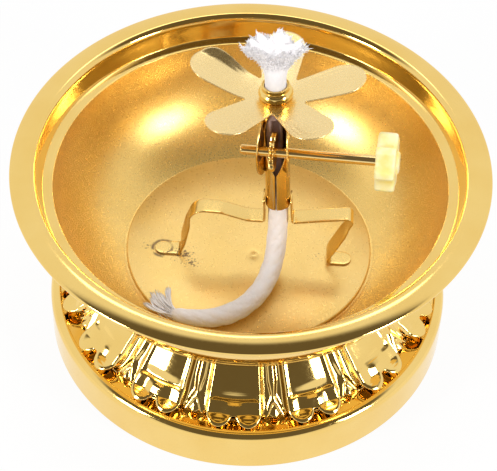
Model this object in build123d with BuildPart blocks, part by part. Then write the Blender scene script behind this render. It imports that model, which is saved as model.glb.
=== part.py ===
from build123d import *

import os
from math import cos, pi, radians, sin, tan

# Butter lamp: a footed bowl on a lotus pedestal, with a wick burner standing in it.
# The burner is a slit tube on two bent legs. A toothed wheel on a spindle winds the wick up when the knob turns.
# Millimetres, +Z up. The origin is on the bowl's axis, at the surface that the lamp stands on. The front is -Y.

# Plinth ring
plinth_radius = 46.8
plinth_height = 10.7
plinth_wall = 1.4
plinth_rounding = 2.0
plinth_land = 2.3
shelf_height = 9.2
shelf_thickness = 1.0
shelf_inner_radius = 37.0

# Lotus pedestal: heights over the shelf, and radii of valley, lobe, notch and spear at each height
petal_count = 14
first_petal = -3.0
lobe_half_angle = 4.5
pedestal_wall = 1.6
flange_thickness = 1.2
flange_inner_radius = 18.0
foot_ring = (41.0, 43.4, 41.9, 42.2)
lip_below = (41.1, 43.6, 42.1, 42.5)
lip_above = (40.8, 43.5, 42.0, 42.1)
petal_curl = (39.6, 41.7, 40.9, 40.3)
petal_face = (37.0, 38.5, 38.2, 37.3)
petal_top = (31.4, 32.6, 32.5, 31.6)
lip_height = 0.9
lip_thickness = 0.8
curl_height = 3.0
face_height = 5.4

# Bowl
bowl_floor_height = 21.7
bowl_wall = 1.2
floor_radius = 29.0
wall_bulge = 4.5
rim_radius = 53.8
rim_height = 50.8
bead_outer_width = 4.2
bead_inner_width = 1.7
bead_inner_drop = 1.5
bead_edge_drop = 1.3
bead_tuck = 0.8
bead_height = 2.2
ledge_width = 2.3
ledge_rise = 0.6
ledge_setback = 9.4
ledge_drop = 5.8

# Base plate, with the shallow dimple of its centre weld
plate_thickness = 0.8
plate_margin = 0.5
plate_edge = 0.2
dimple_radius = 1.2
dimple_depth = 0.3

# Where the burner stands on the plate, and how it is turned
burner_right = 1.0
burner_forward = 2.5
burner_turn = -2.4

# Legs: x across the lamp from the burner's middle, heights over the base plate
strip_thickness = 0.6
strip_width = 4.0
strip_bend = 0.9
arm_bend = 6.0
foot_x = 16.7
foot_length = 6.2
left_top_x = -13.5
left_top_height = 14.2
left_crest_x = -7.5
left_crest_height = 15.1
left_dip_x = -1.5
right_top_x = 22.8
right_top_height = 15.7
arm_root_height = 13.1
weld_tab_top = 2.2
weld_gap = 0.05

# Wick tube: its own turn, its lean to the back and to the left, and heights along it from its lower end
tube_offset = 5.3
tube_base_height = 18.1
tube_turn = -8.2
tube_lean = 5.4
tube_side_lean = 3.6
tube_length = 33.6
tube_bore_radius = 2.5
tube_wall = 0.3
seam_width = 0.35
window_low = 9.6
window_high = 29.0
window_depth = 0.5
ear_below = 9.2
ear_above = 6.6
ear_reach = 7.2
fit_gap = 0.02
running_gap = 0.05

# Collar and flower plate, which sits below the tube's top
flower_drop = 3.5
flower_turn = 2.3
flower_thickness = 0.5
flower_radius = 19.8
flower_flat_radius = 4.2
flower_cup = 2.8
petals_on_flower = 5
flower_tip_radius = 4.9
flower_root_radius = 3.5
flower_root_place = 3.5
collar_bead_radius = 3.8
collar_bead_height = 2.0
collar_bead_shoulder = 0.6
collar_lip_thickness = 0.25
collar_lip_height = 1.1

# Spindle, wick wheel and knob: x along the spindle from the tube's axis
spindle_forward = 5.0
spindle_height = 19.0
spindle_radius = 1.15
spindle_left = -7.2
spindle_edge = 0.2
wheel_radius = 4.4
wheel_tooth = 0.8
wheel_teeth = 16
wheel_thickness = 1.1
knob_x = 22.6
knob_radius = 6.75
knob_thickness = 4.3
knob_rounding = 0.6
knob_flutes = 7
first_flute = 42.0
flute_radius = 2.6
flute_depth = 0.95
knob_boss_radius = 2.4
knob_boss_height = 0.6
knob_cap = 0.8

# Cotton wick: its tail falls from the tube and then curls over the base plate, heights over that plate
wick_radius = 2.3
wick_gap = 0.3
wick_rise = 12.0
wick_drop = 2.2
tuft_height = 12.0
tuft_neck = 3.0
tuft_waist_height = 6.0
tuft_waist = 3.6
tuft_shoulder_height = 9.8
tuft_radius = 6.6
tuft_crown_height = 11.3
tuft_crown = 5.6
tuft_top = 3.8
fray_length = 6.2
fray_turn = 30.0
fray_half_width = 3.0
fray_half_height = 0.9
fray_drop = 0.8
tail_lie = 0.2
tail_fall = [
    (6.30, -2.72, tube_base_height),
    (6.52, -3.19, tube_base_height - 4.57),
    (6.40, -4.70, tube_base_height - 9.20),
    (6.05, -7.70, 5.10),
    (4.75, -12.00, wick_radius + tail_lie + 0.40),
]
tail_curl = [
    (2.50, -16.80),
    (-1.10, -21.20),
    (-6.00, -24.00),
    (-11.80, -24.60),
    (-16.90, -23.20),
]

# Heights and radii that follow from the sizes above
plate_top = bowl_floor_height + plate_thickness
plate_radius = floor_radius - plate_margin
bowl_underside = bowl_floor_height - bowl_wall
ledge_radius = rim_radius - ledge_setback
ledge_height = rim_height - ledge_drop
bead_crest_radius = rim_radius - bead_outer_width
bead_inner_radius = bead_crest_radius - bead_inner_width
tube_radius = tube_bore_radius + tube_wall
flower_height = tube_length - flower_drop
collar_height = flower_height + flower_thickness
petal_pitch = 360 / petal_count
tail_rest = plate_top + wick_radius + tail_lie
tail_points = [(x, y, plate_top + height) for x, y, height in tail_fall]
tail_points += [(x, y, tail_rest) for x, y in tail_curl]

# The bracket's axes: across the lamp and to its back
turn = radians(burner_turn)
across = Vector(cos(turn), sin(turn), 0)
backward = Vector(-sin(turn), cos(turn), 0)
stand = Vector(burner_right, -burner_forward, plate_top)
bracket_plane = Plane(origin=stand, x_dir=across, z_dir=-backward)

# The tube's axes: it has its own turn, and leans to the back and to the left
own_turn = radians(tube_turn)
lean = radians(tube_lean)
side_lean = radians(tube_side_lean)
level_across = Vector(cos(own_turn), sin(own_turn), 0)
level_back = Vector(-sin(own_turn), cos(own_turn), 0)
leaned_back = Vector(0, 0, cos(lean)) + level_back * sin(lean)
along_tube = leaned_back * cos(side_lean) - level_across * sin(side_lean)
across_tube = level_across * cos(side_lean) + leaned_back * sin(side_lean)
tube_base = stand + across * tube_offset + Vector(0, 0, tube_base_height)
tube_plane = Plane(origin=tube_base, x_dir=across_tube, z_dir=along_tube)
side_plane = Plane(origin=tube_base, x_dir=tube_plane.y_dir, z_dir=across_tube)
front_plane = Plane(origin=tube_base, x_dir=across_tube, z_dir=-tube_plane.y_dir)
spindle_place = (-spindle_forward, spindle_height)
tube_axis = Axis(tube_base, along_tube)

os.makedirs("parts", exist_ok=True)


def from_front(radius, angle):
    """Point at a radius from the lamp's axis, at an angle from the front towards +X."""
    return (radius * sin(radians(angle)), -radius * cos(radians(angle)))


def lotus_outline(valley, lobe, notch, spear):
    """Scalloped outline of one height: two lobes for each petal and one spear between petals."""
    for index in range(petal_count):
        middle = first_petal + index * petal_pitch
        petal_edge = 2 * lobe_half_angle
        left = from_front(valley, middle - petal_edge)
        centre = from_front(notch, middle)
        right = from_front(valley, middle + petal_edge)
        next_left = from_front(valley, middle + petal_pitch - petal_edge)
        ThreePointArc(left, from_front(lobe, middle - lobe_half_angle), centre)
        ThreePointArc(centre, from_front(lobe, middle + lobe_half_angle), right)
        ThreePointArc(right, from_front(spear, middle + petal_pitch / 2), next_left)


def bulged(start, end, bulge):
    """Middle point of an arc that bulges to the right of the line from start to end."""
    run = Vector(end) - Vector(start)
    outward = Vector(run.Y, -run.X).normalized()
    return (Vector(start) + Vector(end)) / 2 + outward * bulge


# Plinth ring: plain band, with an inner shelf that the pedestal stands on
plinth_inner = plinth_radius - plinth_wall
land_inner = plinth_radius - plinth_land
with BuildPart() as plinth_ring:
    with BuildSketch(Plane.XZ):
        with BuildLine():
            Polyline(
                (plinth_inner, 0),
                (plinth_radius, 0),
                (plinth_radius, plinth_height),
                (land_inner, plinth_height),
                (land_inner, shelf_height),
                (shelf_inner_radius, shelf_height),
                (shelf_inner_radius, shelf_height - shelf_thickness),
                (plinth_inner, shelf_height - shelf_thickness),
                close=True,
            )
        make_face()
    revolve(axis=Axis.Z)
    top_edges = plinth_ring.edges().group_by(Axis.Z)[-1].sort_by(SortBy.RADIUS)
    fillet(top_edges[-1], plinth_rounding)
plinth_ring.part.label = "plinth_ring"
export_step(plinth_ring.part, "parts/plinth_ring.step")

# Lotus pedestal: scalloped outlines from the shelf up to the bowl's underside, hollow below its flange
lotus_stations = [
    (shelf_height, foot_ring),
    (shelf_height + lip_height, lip_below),
    (shelf_height + lip_height + lip_thickness, lip_above),
    (shelf_height + curl_height, petal_curl),
    (shelf_height + face_height, petal_face),
    (bowl_underside, petal_top),
]
hollow = [(foot_ring[0] - pedestal_wall, shelf_height)]
hollow += [(radii[0] - pedestal_wall, height) for height, radii in lotus_stations[3:5]]
hollow_top = bowl_underside - flange_thickness
hollow += [(petal_top[0] - pedestal_wall, hollow_top)]
with BuildPart() as pedestal:
    for height, radii in lotus_stations:
        with BuildSketch(Plane.XY.offset(height)):
            with BuildLine():
                lotus_outline(*radii)
            make_face()
    loft(ruled=True)
    with BuildSketch(Plane.XZ):
        with BuildLine():
            Polyline(
                (0, shelf_height),
                *hollow,
                (flange_inner_radius, hollow_top),
                (flange_inner_radius, bowl_underside),
                (0, bowl_underside),
                close=True,
            )
        make_face()
    revolve(axis=Axis.Z, mode=Mode.SUBTRACT)
pedestal.part.label = "pedestal"
export_step(pedestal.part, "parts/pedestal.step")

# Bowl: flat floor, bulged wall, the step inside the rim and the rolled bead
floor_edge = (floor_radius, bowl_floor_height)
ledge_edge = (ledge_radius, ledge_height)
ledge_outer = (ledge_radius + ledge_width, ledge_height + ledge_rise)
bead_inner = (bead_inner_radius, rim_height - bead_inner_drop)
bead_low = (rim_radius - bead_tuck, rim_height - bead_height)
bead_edge_height = rim_height - bead_edge_drop
under_ledge = (ledge_radius + ledge_width + bowl_wall, ledge_height + ledge_rise - bowl_wall)
under_edge = (ledge_radius + bowl_wall, ledge_height - bowl_wall)
under_floor = (floor_radius + bowl_wall / 2, bowl_underside)
with BuildPart() as bowl:
    with BuildSketch(Plane.XZ):
        with BuildLine():
            Polyline((0, bowl_underside), (0, bowl_floor_height), floor_edge)
            ThreePointArc(floor_edge, bulged(floor_edge, ledge_edge, wall_bulge), ledge_edge)
            Polyline(ledge_edge, ledge_outer, bead_inner)
            inner_centre = (bead_crest_radius, rim_height - bead_inner_drop)
            inner_reach = bead_crest_radius - bead_inner_radius
            EllipticalCenterArc(inner_centre, inner_reach, bead_inner_drop, 90, arc_size=90)
            crest_centre = (bead_crest_radius, bead_edge_height)
            EllipticalCenterArc(crest_centre, rim_radius - bead_crest_radius, bead_edge_drop, 0, arc_size=90)
            tuck_centre = (rim_radius - bead_tuck, bead_edge_height)
            EllipticalCenterArc(tuck_centre, bead_tuck, bead_height - bead_edge_drop, 270, arc_size=90)
            Polyline(bead_low, under_ledge, under_edge)
            ThreePointArc(under_edge, bulged(under_floor, under_edge, wall_bulge), under_floor)
            Line(under_floor, (0, bowl_underside))
        make_face()
    revolve(axis=Axis.Z)
bowl.part.label = "bowl"
export_step(bowl.part, "parts/bowl.step")

# Base plate: thin disc on the bowl's floor, dimpled where it is welded to the bowl
dimple_ball = (dimple_radius**2 + dimple_depth**2) / (2 * dimple_depth)
with BuildPart() as base_plate:
    with BuildSketch(Plane.XY.offset(bowl_floor_height)):
        Circle(plate_radius)
    extrude(amount=plate_thickness)
    chamfer(base_plate.edges().group_by(Axis.Z)[-1], plate_edge)
    with Locations((burner_right, -burner_forward, plate_top + dimple_ball - dimple_depth)):
        Sphere(dimple_ball, mode=Mode.SUBTRACT)
base_plate.part.label = "base_plate"
export_step(base_plate.part, "parts/base_plate.step")

# Legs: one bent strip on each side, from a foot tab on the plate to a tab on the tube's side
tab_height = tube_base_height + weld_tab_top
tab_left = tube_offset - tube_radius - weld_gap - weld_tab_top * tan(side_lean)
tab_right = tube_offset + tube_radius + weld_gap
left_route = [
    (-foot_x - foot_length, 0),
    (-foot_x, 0),
    (left_top_x, left_top_height),
    (left_crest_x, left_crest_height),
    (left_dip_x, arm_root_height),
    (tab_left, arm_root_height),
    (tab_left, tab_height),
]
left_bends = [strip_bend, strip_bend, arm_bend, arm_bend, strip_bend]
right_route = [
    (foot_x + foot_length, 0),
    (foot_x, 0),
    (right_top_x, right_top_height),
    (tab_right, arm_root_height),
    (tab_right, tab_height),
]
with BuildPart() as leg_left:
    with BuildSketch(bracket_plane):
        with BuildLine():
            FilletPolyline(*left_route, radius=left_bends)
            offset(amount=strip_thickness, side=Side.LEFT)
        make_face()
    extrude(amount=strip_width / 2, both=True)
    foot_corners = leg_left.edges().filter_by(Axis.Z).group_by(Axis(stand, across))[0]
    fillet(foot_corners, strip_width / 2 * 0.98)
leg_left.part.label = "leg_left"
export_step(leg_left.part, "parts/leg_left.step")

with BuildPart() as leg_right:
    with BuildSketch(bracket_plane):
        with BuildLine():
            FilletPolyline(*right_route, radius=strip_bend)
            offset(amount=strip_thickness, side=Side.RIGHT)
        make_face()
    extrude(amount=strip_width / 2, both=True)
    foot_corners = leg_right.edges().filter_by(Axis.Z).group_by(Axis(stand, across))[-1]
    fillet(foot_corners, strip_width / 2 * 0.98)
leg_right.part.label = "leg_right"
export_step(leg_right.part, "parts/leg_right.step")

# Wick tube: rolled tube with an open seam at the front, a pointed window and two ears for the spindle
window_middle = (window_low + window_high) / 2
with BuildPart() as wick_tube:
    with BuildSketch(tube_plane):
        Circle(tube_radius)
        Circle(tube_bore_radius, mode=Mode.SUBTRACT)
    extrude(amount=tube_length)
    for ear_x in (tube_bore_radius, -tube_radius):
        with BuildSketch(side_plane.offset(ear_x)):
            with BuildLine():
                ear_low = (0, spindle_height - ear_below)
                ear_high = (0, spindle_height + ear_above)
                ThreePointArc(ear_low, (-ear_reach, spindle_height), ear_high)
                Line(ear_high, ear_low)
            make_face()
        extrude(amount=tube_wall)
    with BuildSketch(front_plane.offset(window_depth)):
        with BuildLine():
            ThreePointArc((0, window_low), (tube_bore_radius, window_middle), (0, window_high))
            ThreePointArc((0, window_high), (-tube_bore_radius, window_middle), (0, window_low))
        make_face()
    extrude(amount=tube_radius, mode=Mode.SUBTRACT)
    with BuildSketch(front_plane.offset(window_depth)):
        with Locations((0, tube_length / 2)):
            Rectangle(seam_width, tube_length)
    extrude(amount=tube_radius, mode=Mode.SUBTRACT)
    with BuildSketch(side_plane.offset(-tube_radius)):
        with Locations(spindle_place):
            Circle(spindle_radius + running_gap)
    extrude(amount=2 * tube_radius, mode=Mode.SUBTRACT)
wick_tube.part.label = "wick_tube"
export_step(wick_tube.part, "parts/wick_tube.step")

# Flower plate: five petals stamped from a dished disc, under the collar
tip_place = flower_radius - flower_tip_radius
with BuildPart() as flower_plate:
    with BuildSketch(front_plane):
        with BuildLine():
            Polyline(
                (tube_radius + fit_gap, flower_height),
                (flower_flat_radius, flower_height),
                (flower_radius, flower_height + flower_cup),
                (flower_radius, flower_height + flower_cup + flower_thickness),
                (flower_flat_radius, flower_height + flower_thickness),
                (tube_radius + fit_gap, flower_height + flower_thickness),
                close=True,
            )
        make_face()
    revolve(axis=tube_axis)
    with BuildSketch(tube_plane):
        for index in range(petals_on_flower):
            petal_angle = radians(90 + flower_turn + index * 360 / petals_on_flower)
            petal_way = Vector(cos(petal_angle), sin(petal_angle))
            with BuildLine(mode=Mode.PRIVATE) as petal_ends:
                CenterArc(petal_way * tip_place, flower_tip_radius, 0, 360)
                CenterArc(petal_way * flower_root_place, flower_root_radius, 0, 360)
            make_hull(petal_ends.edges())
    extrude(amount=tube_length + flower_cup, mode=Mode.INTERSECT)
flower_plate.part.label = "flower_plate"
export_step(flower_plate.part, "parts/flower_plate.step")

# Collar: bead ring on the flower plate, with a thin lip round the tube's mouth
collar_bore = tube_radius + fit_gap
bead_root = collar_bead_radius - collar_bead_shoulder
bead_top = collar_height + collar_bead_height
lip_radius = collar_bore + collar_lip_thickness
with BuildPart() as tube_collar:
    with BuildSketch(front_plane):
        with BuildLine():
            Line((collar_bore, collar_height), (bead_root, collar_height))
            bead_side = (collar_bead_radius, collar_height + collar_bead_height / 2)
            ThreePointArc((bead_root, collar_height), bead_side, (bead_root, bead_top))
            Polyline(
                (bead_root, bead_top),
                (lip_radius, bead_top),
                (lip_radius, bead_top + collar_lip_height),
                (collar_bore, bead_top + collar_lip_height),
                (collar_bore, collar_height),
            )
        make_face()
    revolve(axis=tube_axis)
tube_collar.part.label = "tube_collar"
export_step(tube_collar.part, "parts/tube_collar.step")

# Spindle: plain shaft through the two ears, ending under the knob's cap
spindle_right = knob_x + knob_thickness - knob_cap
with BuildPart() as spindle:
    with BuildSketch(side_plane.offset(spindle_left)):
        with Locations(spindle_place):
            Circle(spindle_radius)
    extrude(amount=spindle_right - spindle_left)
    chamfer(spindle.edges().filter_by(GeomType.CIRCLE), spindle_edge)
spindle.part.label = "spindle"
export_step(spindle.part, "parts/spindle.step")

# Wick wheel: thin toothed disc in the window, whose teeth reach into the wick's groove
tooth_turn = pi / wheel_teeth
wheel_outline = []
for index in range(wheel_teeth):
    tip_angle = 2 * index * tooth_turn
    root_angle = tip_angle + tooth_turn
    wheel_outline.append((wheel_radius * cos(tip_angle), wheel_radius * sin(tip_angle)))
    root_radius = wheel_radius - wheel_tooth
    wheel_outline.append((root_radius * cos(root_angle), root_radius * sin(root_angle)))
with BuildPart() as wick_wheel:
    with BuildSketch(side_plane.offset(-wheel_thickness / 2)):
        with Locations(spindle_place):
            Polygon(*wheel_outline, align=None)
            Circle(spindle_radius + fit_gap, mode=Mode.SUBTRACT)
    extrude(amount=wheel_thickness)
wick_wheel.part.label = "wick_wheel"
export_step(wick_wheel.part, "parts/wick_wheel.step")

# Knob: rounded disc with fluted edge and a small boss, pressed on the spindle's right end
with BuildPart() as knob:
    with BuildSketch(side_plane.offset(knob_x)):
        with Locations(spindle_place):
            Circle(knob_radius)
    extrude(amount=knob_thickness)
    fillet(knob.edges().filter_by(GeomType.CIRCLE), knob_rounding)
    with BuildSketch(side_plane.offset(knob_x + knob_thickness)):
        with Locations(spindle_place):
            Circle(knob_boss_radius)
    extrude(amount=knob_boss_height)
    with BuildSketch(side_plane.offset(knob_x)):
        with Locations(spindle_place):
            with PolarLocations(knob_radius + flute_radius - flute_depth, knob_flutes, first_flute):
                Circle(flute_radius)
    extrude(amount=knob_thickness, mode=Mode.SUBTRACT)
    with BuildSketch(side_plane.offset(knob_x)):
        with Locations(spindle_place):
            Circle(spindle_radius + fit_gap)
    extrude(amount=spindle_right - knob_x, mode=Mode.SUBTRACT)
knob.part.label = "knob"
export_step(knob.part, "parts/knob.step")

# Wick inside the tube: a round cord with a groove that stays clear of the wheel over the whole travel
wheel_bite = spindle_forward - wheel_radius
groove_depth = wheel_bite - wick_gap
groove_half_width = wheel_thickness / 2 + wick_gap
wheel_half_chord = (wheel_radius**2 - (spindle_forward - wick_radius) ** 2) ** 0.5
groove_low = spindle_height - wheel_half_chord - wick_rise - wick_gap
groove_high = spindle_height + wheel_half_chord + wick_drop + wick_gap
with BuildPart() as wick_core:
    with BuildSketch(tube_plane.offset(wick_gap)):
        Circle(wick_radius)
    extrude(amount=tube_length - wick_gap)
    with BuildSketch(front_plane.offset(groove_depth)):
        with Locations((0, (groove_low + groove_high) / 2)):
            Rectangle(2 * groove_half_width, groove_high - groove_low)
    extrude(amount=wick_radius, mode=Mode.SUBTRACT)
wick_core.part.label = "wick_core"
export_step(wick_core.part, "parts/wick_core.step")

# Frayed tuft above the collar: straight neck, then a spreading head with a rounded crown
tuft_circles = [
    (tuft_neck, wick_radius),
    (tuft_waist_height, tuft_waist),
    (tuft_shoulder_height, tuft_radius),
    (tuft_crown_height, tuft_crown),
    (tuft_height, tuft_top),
]
tuft_plane = tube_plane.offset(tube_length)
with BuildPart() as wick_tuft:
    with BuildSketch(tuft_plane):
        Circle(wick_radius)
    extrude(amount=tuft_neck)
    for height, radius in tuft_circles:
        with BuildSketch(tuft_plane.offset(height)):
            Circle(radius)
    loft(ruled=True)
wick_tuft.part.label = "wick_tuft"
export_step(wick_tuft.part, "parts/wick_tuft.step")

# Tail: the limp stretch from the tube's mouth over the base plate, as straight runs joined by tangent arcs
runs = [Vector(end) - Vector(start) for start, end in zip(tail_points, tail_points[1:])]
bends = []
for before, after in zip(runs, runs[1:]):
    half_turn = radians(before.get_angle(after) / 2)
    bends.append(0.45 * min(before.length, after.length) / tan(half_turn))
with BuildPart() as wick_tail:
    with BuildLine() as tail_route:
        FilletPolyline(*tail_points, radius=bends)
    tail_line = tail_route.wires()[0]
    with BuildSketch(Plane(origin=tail_line @ 0, z_dir=tail_line % 0)):
        Circle(wick_radius)
    sweep()
tail_volume = pi * wick_radius**2 * tail_line.length
print("tail bend radii", [round(bend, 1) for bend in bends], "length", round(tail_line.length, 2))
print("tail volume over section times length", round(wick_tail.part.volume / tail_volume, 4))
wick_tail.part.label = "wick_tail"
export_step(wick_tail.part, "parts/wick_tail.step")

# Frayed end of the tail: it flattens and spreads where the strands lie on the plate
tail_end = tail_line @ 1
tail_way = tail_line % 1
fray_way = tail_way.rotate(Axis.Z, -fray_turn)
fray_end = tail_end + (tail_way + fray_way).normalized() * fray_length - Vector(0, 0, fray_drop)
level = Vector(0, 0, 1)
with BuildPart() as wick_fray:
    with BuildSketch(Plane(origin=tail_end, x_dir=level.cross(tail_way), z_dir=tail_way)):
        Circle(wick_radius)
    with BuildSketch(Plane(origin=fray_end, x_dir=level.cross(fray_way), z_dir=fray_way)):
        Ellipse(fray_half_width, fray_half_height)
    loft()
wick_fray.part.label = "wick_fray"
export_step(wick_fray.part, "parts/wick_fray.step")
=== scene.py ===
# %% [markdown]
# # Butter lamp
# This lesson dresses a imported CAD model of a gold-plated butter lamp. The frame comes first: it brings the
# solids, the bodies that move and the joints. Every piece below is made in that same frame, so nothing has to
# be fitted.

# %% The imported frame
from math import cos, pi, radians, sin

import bmesh
import bpy
import numpy as np
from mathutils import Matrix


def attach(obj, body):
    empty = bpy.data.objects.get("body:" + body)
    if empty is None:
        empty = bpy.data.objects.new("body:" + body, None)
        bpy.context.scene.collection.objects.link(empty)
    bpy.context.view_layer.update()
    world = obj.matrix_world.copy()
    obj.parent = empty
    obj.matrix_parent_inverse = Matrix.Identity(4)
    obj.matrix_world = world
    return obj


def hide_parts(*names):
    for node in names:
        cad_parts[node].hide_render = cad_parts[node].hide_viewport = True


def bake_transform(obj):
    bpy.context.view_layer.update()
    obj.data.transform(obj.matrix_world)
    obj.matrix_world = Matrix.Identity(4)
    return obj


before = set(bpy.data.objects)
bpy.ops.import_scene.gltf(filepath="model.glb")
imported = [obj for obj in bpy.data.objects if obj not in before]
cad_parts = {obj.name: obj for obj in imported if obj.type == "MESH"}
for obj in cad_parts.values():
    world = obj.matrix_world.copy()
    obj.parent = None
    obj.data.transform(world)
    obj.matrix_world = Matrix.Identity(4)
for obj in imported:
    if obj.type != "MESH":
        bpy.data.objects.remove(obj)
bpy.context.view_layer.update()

# %% [markdown]
# The photograph looks down at the lamp at about 48 degrees, through a long lens. A constraint could aim the
# camera, but its axes are known, so they are written straight into its matrix: right, up and backwards,
# rolled a little. The same helper aims the lamps later.

# %% Camera
photo_width = 497
focal_pixels = 1900.0
sensor_width = 36.0
camera_elevation, camera_roll = 48.503, 1.816
camera_distance = 0.4423
camera_target = np.array((0.0, 0.0, 0.025))
centre_offset = (0.51, 2.71)


def aim(holder, target, distance, azimuth, elevation, roll=0.0):
    """Stands a camera or lamp at a distance from a target, facing it. Angles are degrees from the front."""
    azimuth, elevation, roll = radians(azimuth), radians(elevation), radians(roll)
    out = np.array((sin(azimuth) * cos(elevation), -cos(azimuth) * cos(elevation), sin(elevation)))
    level = np.array((cos(azimuth), sin(azimuth), 0.0))
    up = np.cross(out, level)
    right = cos(roll) * level + sin(roll) * up
    upwards = cos(roll) * up - sin(roll) * level
    matrix = np.eye(4)
    matrix[:3] = np.stack([right, upwards, out, target + distance * out], 1)
    holder.matrix_world = matrix.T.tolist()


camera = bpy.data.objects.new("camera", bpy.data.cameras.new("camera"))
bpy.context.collection.objects.link(camera)
camera.data.sensor_width = sensor_width
camera.data.lens = focal_pixels * sensor_width / photo_width
camera.data.shift_x = -centre_offset[0] / photo_width
camera.data.shift_y = centre_offset[1] / photo_width
camera.data.clip_start = 0.01
aim(camera, camera_target, camera_distance, 0.0, camera_elevation, camera_roll)
bpy.context.scene.camera = camera
bpy.context.scene.view_settings.view_transform = "Standard"
print("lens", round(camera.data.lens, 1), "mm")

# %% [markdown]
# A lamp like this is spun, pressed and rolled from sheet, so almost every piece is a grid: one parameter runs
# along a profile, the other round an axis. One helper turns such grids into a mesh. It merges points that
# meet at a pole or a seam and turns the faces outwards, so each shell is closed. Until then sizes are in
# millimetres.

# %% From grids of points to a piece
MILLIMETRE = 0.001


def grid_faces(rows, columns):
    """Quads between neighbouring rows and columns. The last column meets the first."""
    here = np.arange((rows - 1) * columns).reshape(-1, columns)
    beside = np.roll(here, -1, 1)
    return np.stack([here, beside, beside + columns, here + columns], -1).reshape(-1, 4)


def ring(grid):
    """A grid whose rows close too: its first row comes again at the end."""
    return np.concatenate([grid, grid[:1]])


def close_shells(mesh):
    """Merges points that coincide, drops faces without area and turns the rest outwards."""
    work = bmesh.new()
    work.from_mesh(mesh)
    bmesh.ops.remove_doubles(work, verts=work.verts, dist=1e-7)
    bmesh.ops.dissolve_degenerate(work, edges=work.edges, dist=1e-8)
    bmesh.ops.recalc_face_normals(work, faces=work.faces)
    work.to_mesh(mesh)
    work.free()
    mesh.polygons.foreach_set("use_smooth", np.ones(len(mesh.polygons), bool))


def make_piece(name, node, finishes, shells, body="lamp", finish_of_row=None, values=None):
    """A piece from shells, each a grid (rows, columns, xyz) or many alike. finish_of_row gives the finish of
    each row of the first shell, values a number for each point."""
    points, faces, start = [], [], 0
    for grid in shells:
        rows, columns = grid.shape[-3:-1]
        starts = np.arange(start, start + grid.size // 3, rows * columns)
        faces.append((grid_faces(rows, columns) + starts[:, None, None]).reshape(-1, 4))
        points.append(grid.reshape(-1, 3))
        start += grid.size // 3
    mesh = bpy.data.meshes.new(name)
    all_faces = np.concatenate(faces)
    mesh.from_pydata(np.concatenate(points) * MILLIMETRE, [], all_faces)
    for finish in finishes:
        mesh.materials.append(finish)
    if finish_of_row is not None:
        row = all_faces[:, 0] // shells[0].shape[1]
        mesh.polygons.foreach_set("material_index", finish_of_row[row].astype(np.int32))
    if values is not None:
        layer = mesh.attributes.new("browning", "FLOAT", "POINT")
        layer.data.foreach_set("value", values.astype(np.float32))
    close_shells(mesh)
    piece = bpy.data.objects.new(name, mesh)
    bpy.context.collection.objects.link(piece)
    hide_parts(node)
    if body:
        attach(piece, body)
    print(name, len(mesh.polygons), "faces")
    return piece


print("a grid of 3 rows and 4 columns has", len(grid_faces(3, 4)), "faces")

# %% [markdown]
# Profiles come as a few corner points and arcs. Real sheet has no sharp corners, so each line is resampled
# evenly and every point is replaced by a weighted mean of its neighbours: that rounds corners and leaves
# straight runs alone. A second helper then keeps more points where the line bends, and fewer where it is
# straight.

# %% Profiles
def run_along(line):
    """The length run at each point of a line, from its start."""
    return np.concatenate([[0.0], np.cumsum(np.linalg.norm(np.diff(line, axis=0), axis=1))])


def eased(points, step, width):
    """The line through the points, resampled every step, each point the mean of its neighbours under a bell
    curve of that width. Both ends stay in place."""
    points = np.asarray(points, float)
    run = run_along(points)
    even = np.linspace(0.0, run[-1], int(run[-1] / step) + 2)
    line = np.stack([np.interp(even, run, column) for column in points.T], 1)
    reach = int(3 * width / step) + 1
    bell = np.exp(-0.5 * (np.arange(-reach, reach + 1) * step / width) ** 2)
    before = 2 * line[0] - line[reach:0:-1]
    after = 2 * line[-1] - line[-2 : -reach - 2 : -1]
    longer = np.concatenate([before, line, after])
    return np.stack([np.convolve(column, bell / bell.sum(), "valid") for column in longer.T], 1)


def thinned(line, count):
    """That many points of a line, at equal shares of its length and of its turning added up."""
    step = np.diff(line[:, :2], axis=0)
    length = np.linalg.norm(step, axis=1)
    heading = np.unwrap(np.arctan2(step[:, 1], step[:, 0]))
    turning = np.concatenate([[0.0], np.abs(np.diff(heading))])
    share = np.concatenate([[0.0], np.cumsum(length / length.sum() + turning / turning.sum())])
    picks = np.linspace(0.0, share[-1], count)
    return np.stack([np.interp(picks, share, column) for column in line.T], 1)


def arc(centre, radius, first, last, count=24):
    """Points of an ellipse round a centre, from one angle to another, in degrees. radius is (across, up)."""
    angle = np.radians(np.linspace(first, last, count))
    return np.stack([centre[0] + radius[0] * np.cos(angle), centre[1] + radius[1] * np.sin(angle)], 1)


def bulged(start, end, bulge, count=60):
    """Points of the circle's arc from start to end that swells by bulge to the right of the line between."""
    start, end = np.array(start), np.array(end)
    chord = end - start
    length = np.linalg.norm(chord)
    outward = np.array((chord[1], -chord[0])) / length
    radius = (length**2 / 4 + bulge**2) / (2 * bulge)
    centre = (start + end) / 2 - outward * (radius - bulge)
    first = np.arctan2(*(start - centre)[::-1])
    last = np.arctan2(*(end - centre)[::-1])
    return arc(centre, (radius, radius), np.degrees(first), np.degrees(last), count)


def full_turn(count):
    """Angles of one full turn, in equal steps."""
    return np.linspace(0.0, 2 * pi, count, endpoint=False)


def wrapped(angle, turn):
    """The angle less whole turns, so that it lies within half a turn of 0."""
    return (angle + turn / 2) % turn - turn / 2


def unit(vectors):
    """The same directions, each one long."""
    return vectors / np.linalg.norm(vectors, axis=-1, keepdims=True)


def left_of(line):
    """Unit vectors square to a flat line of points, to the left of its way."""
    way = np.gradient(line, axis=0)
    return unit(np.stack([-way[:, 1], way[:, 0]], 1))


def round_lamp(radius, height, angle):
    """Points round the lamp's axis: x = radius sin(angle), y = -radius cos(angle), z = height."""
    return np.stack(np.broadcast_arrays(radius * np.sin(angle), -radius * np.cos(angle), height), -1)


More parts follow.
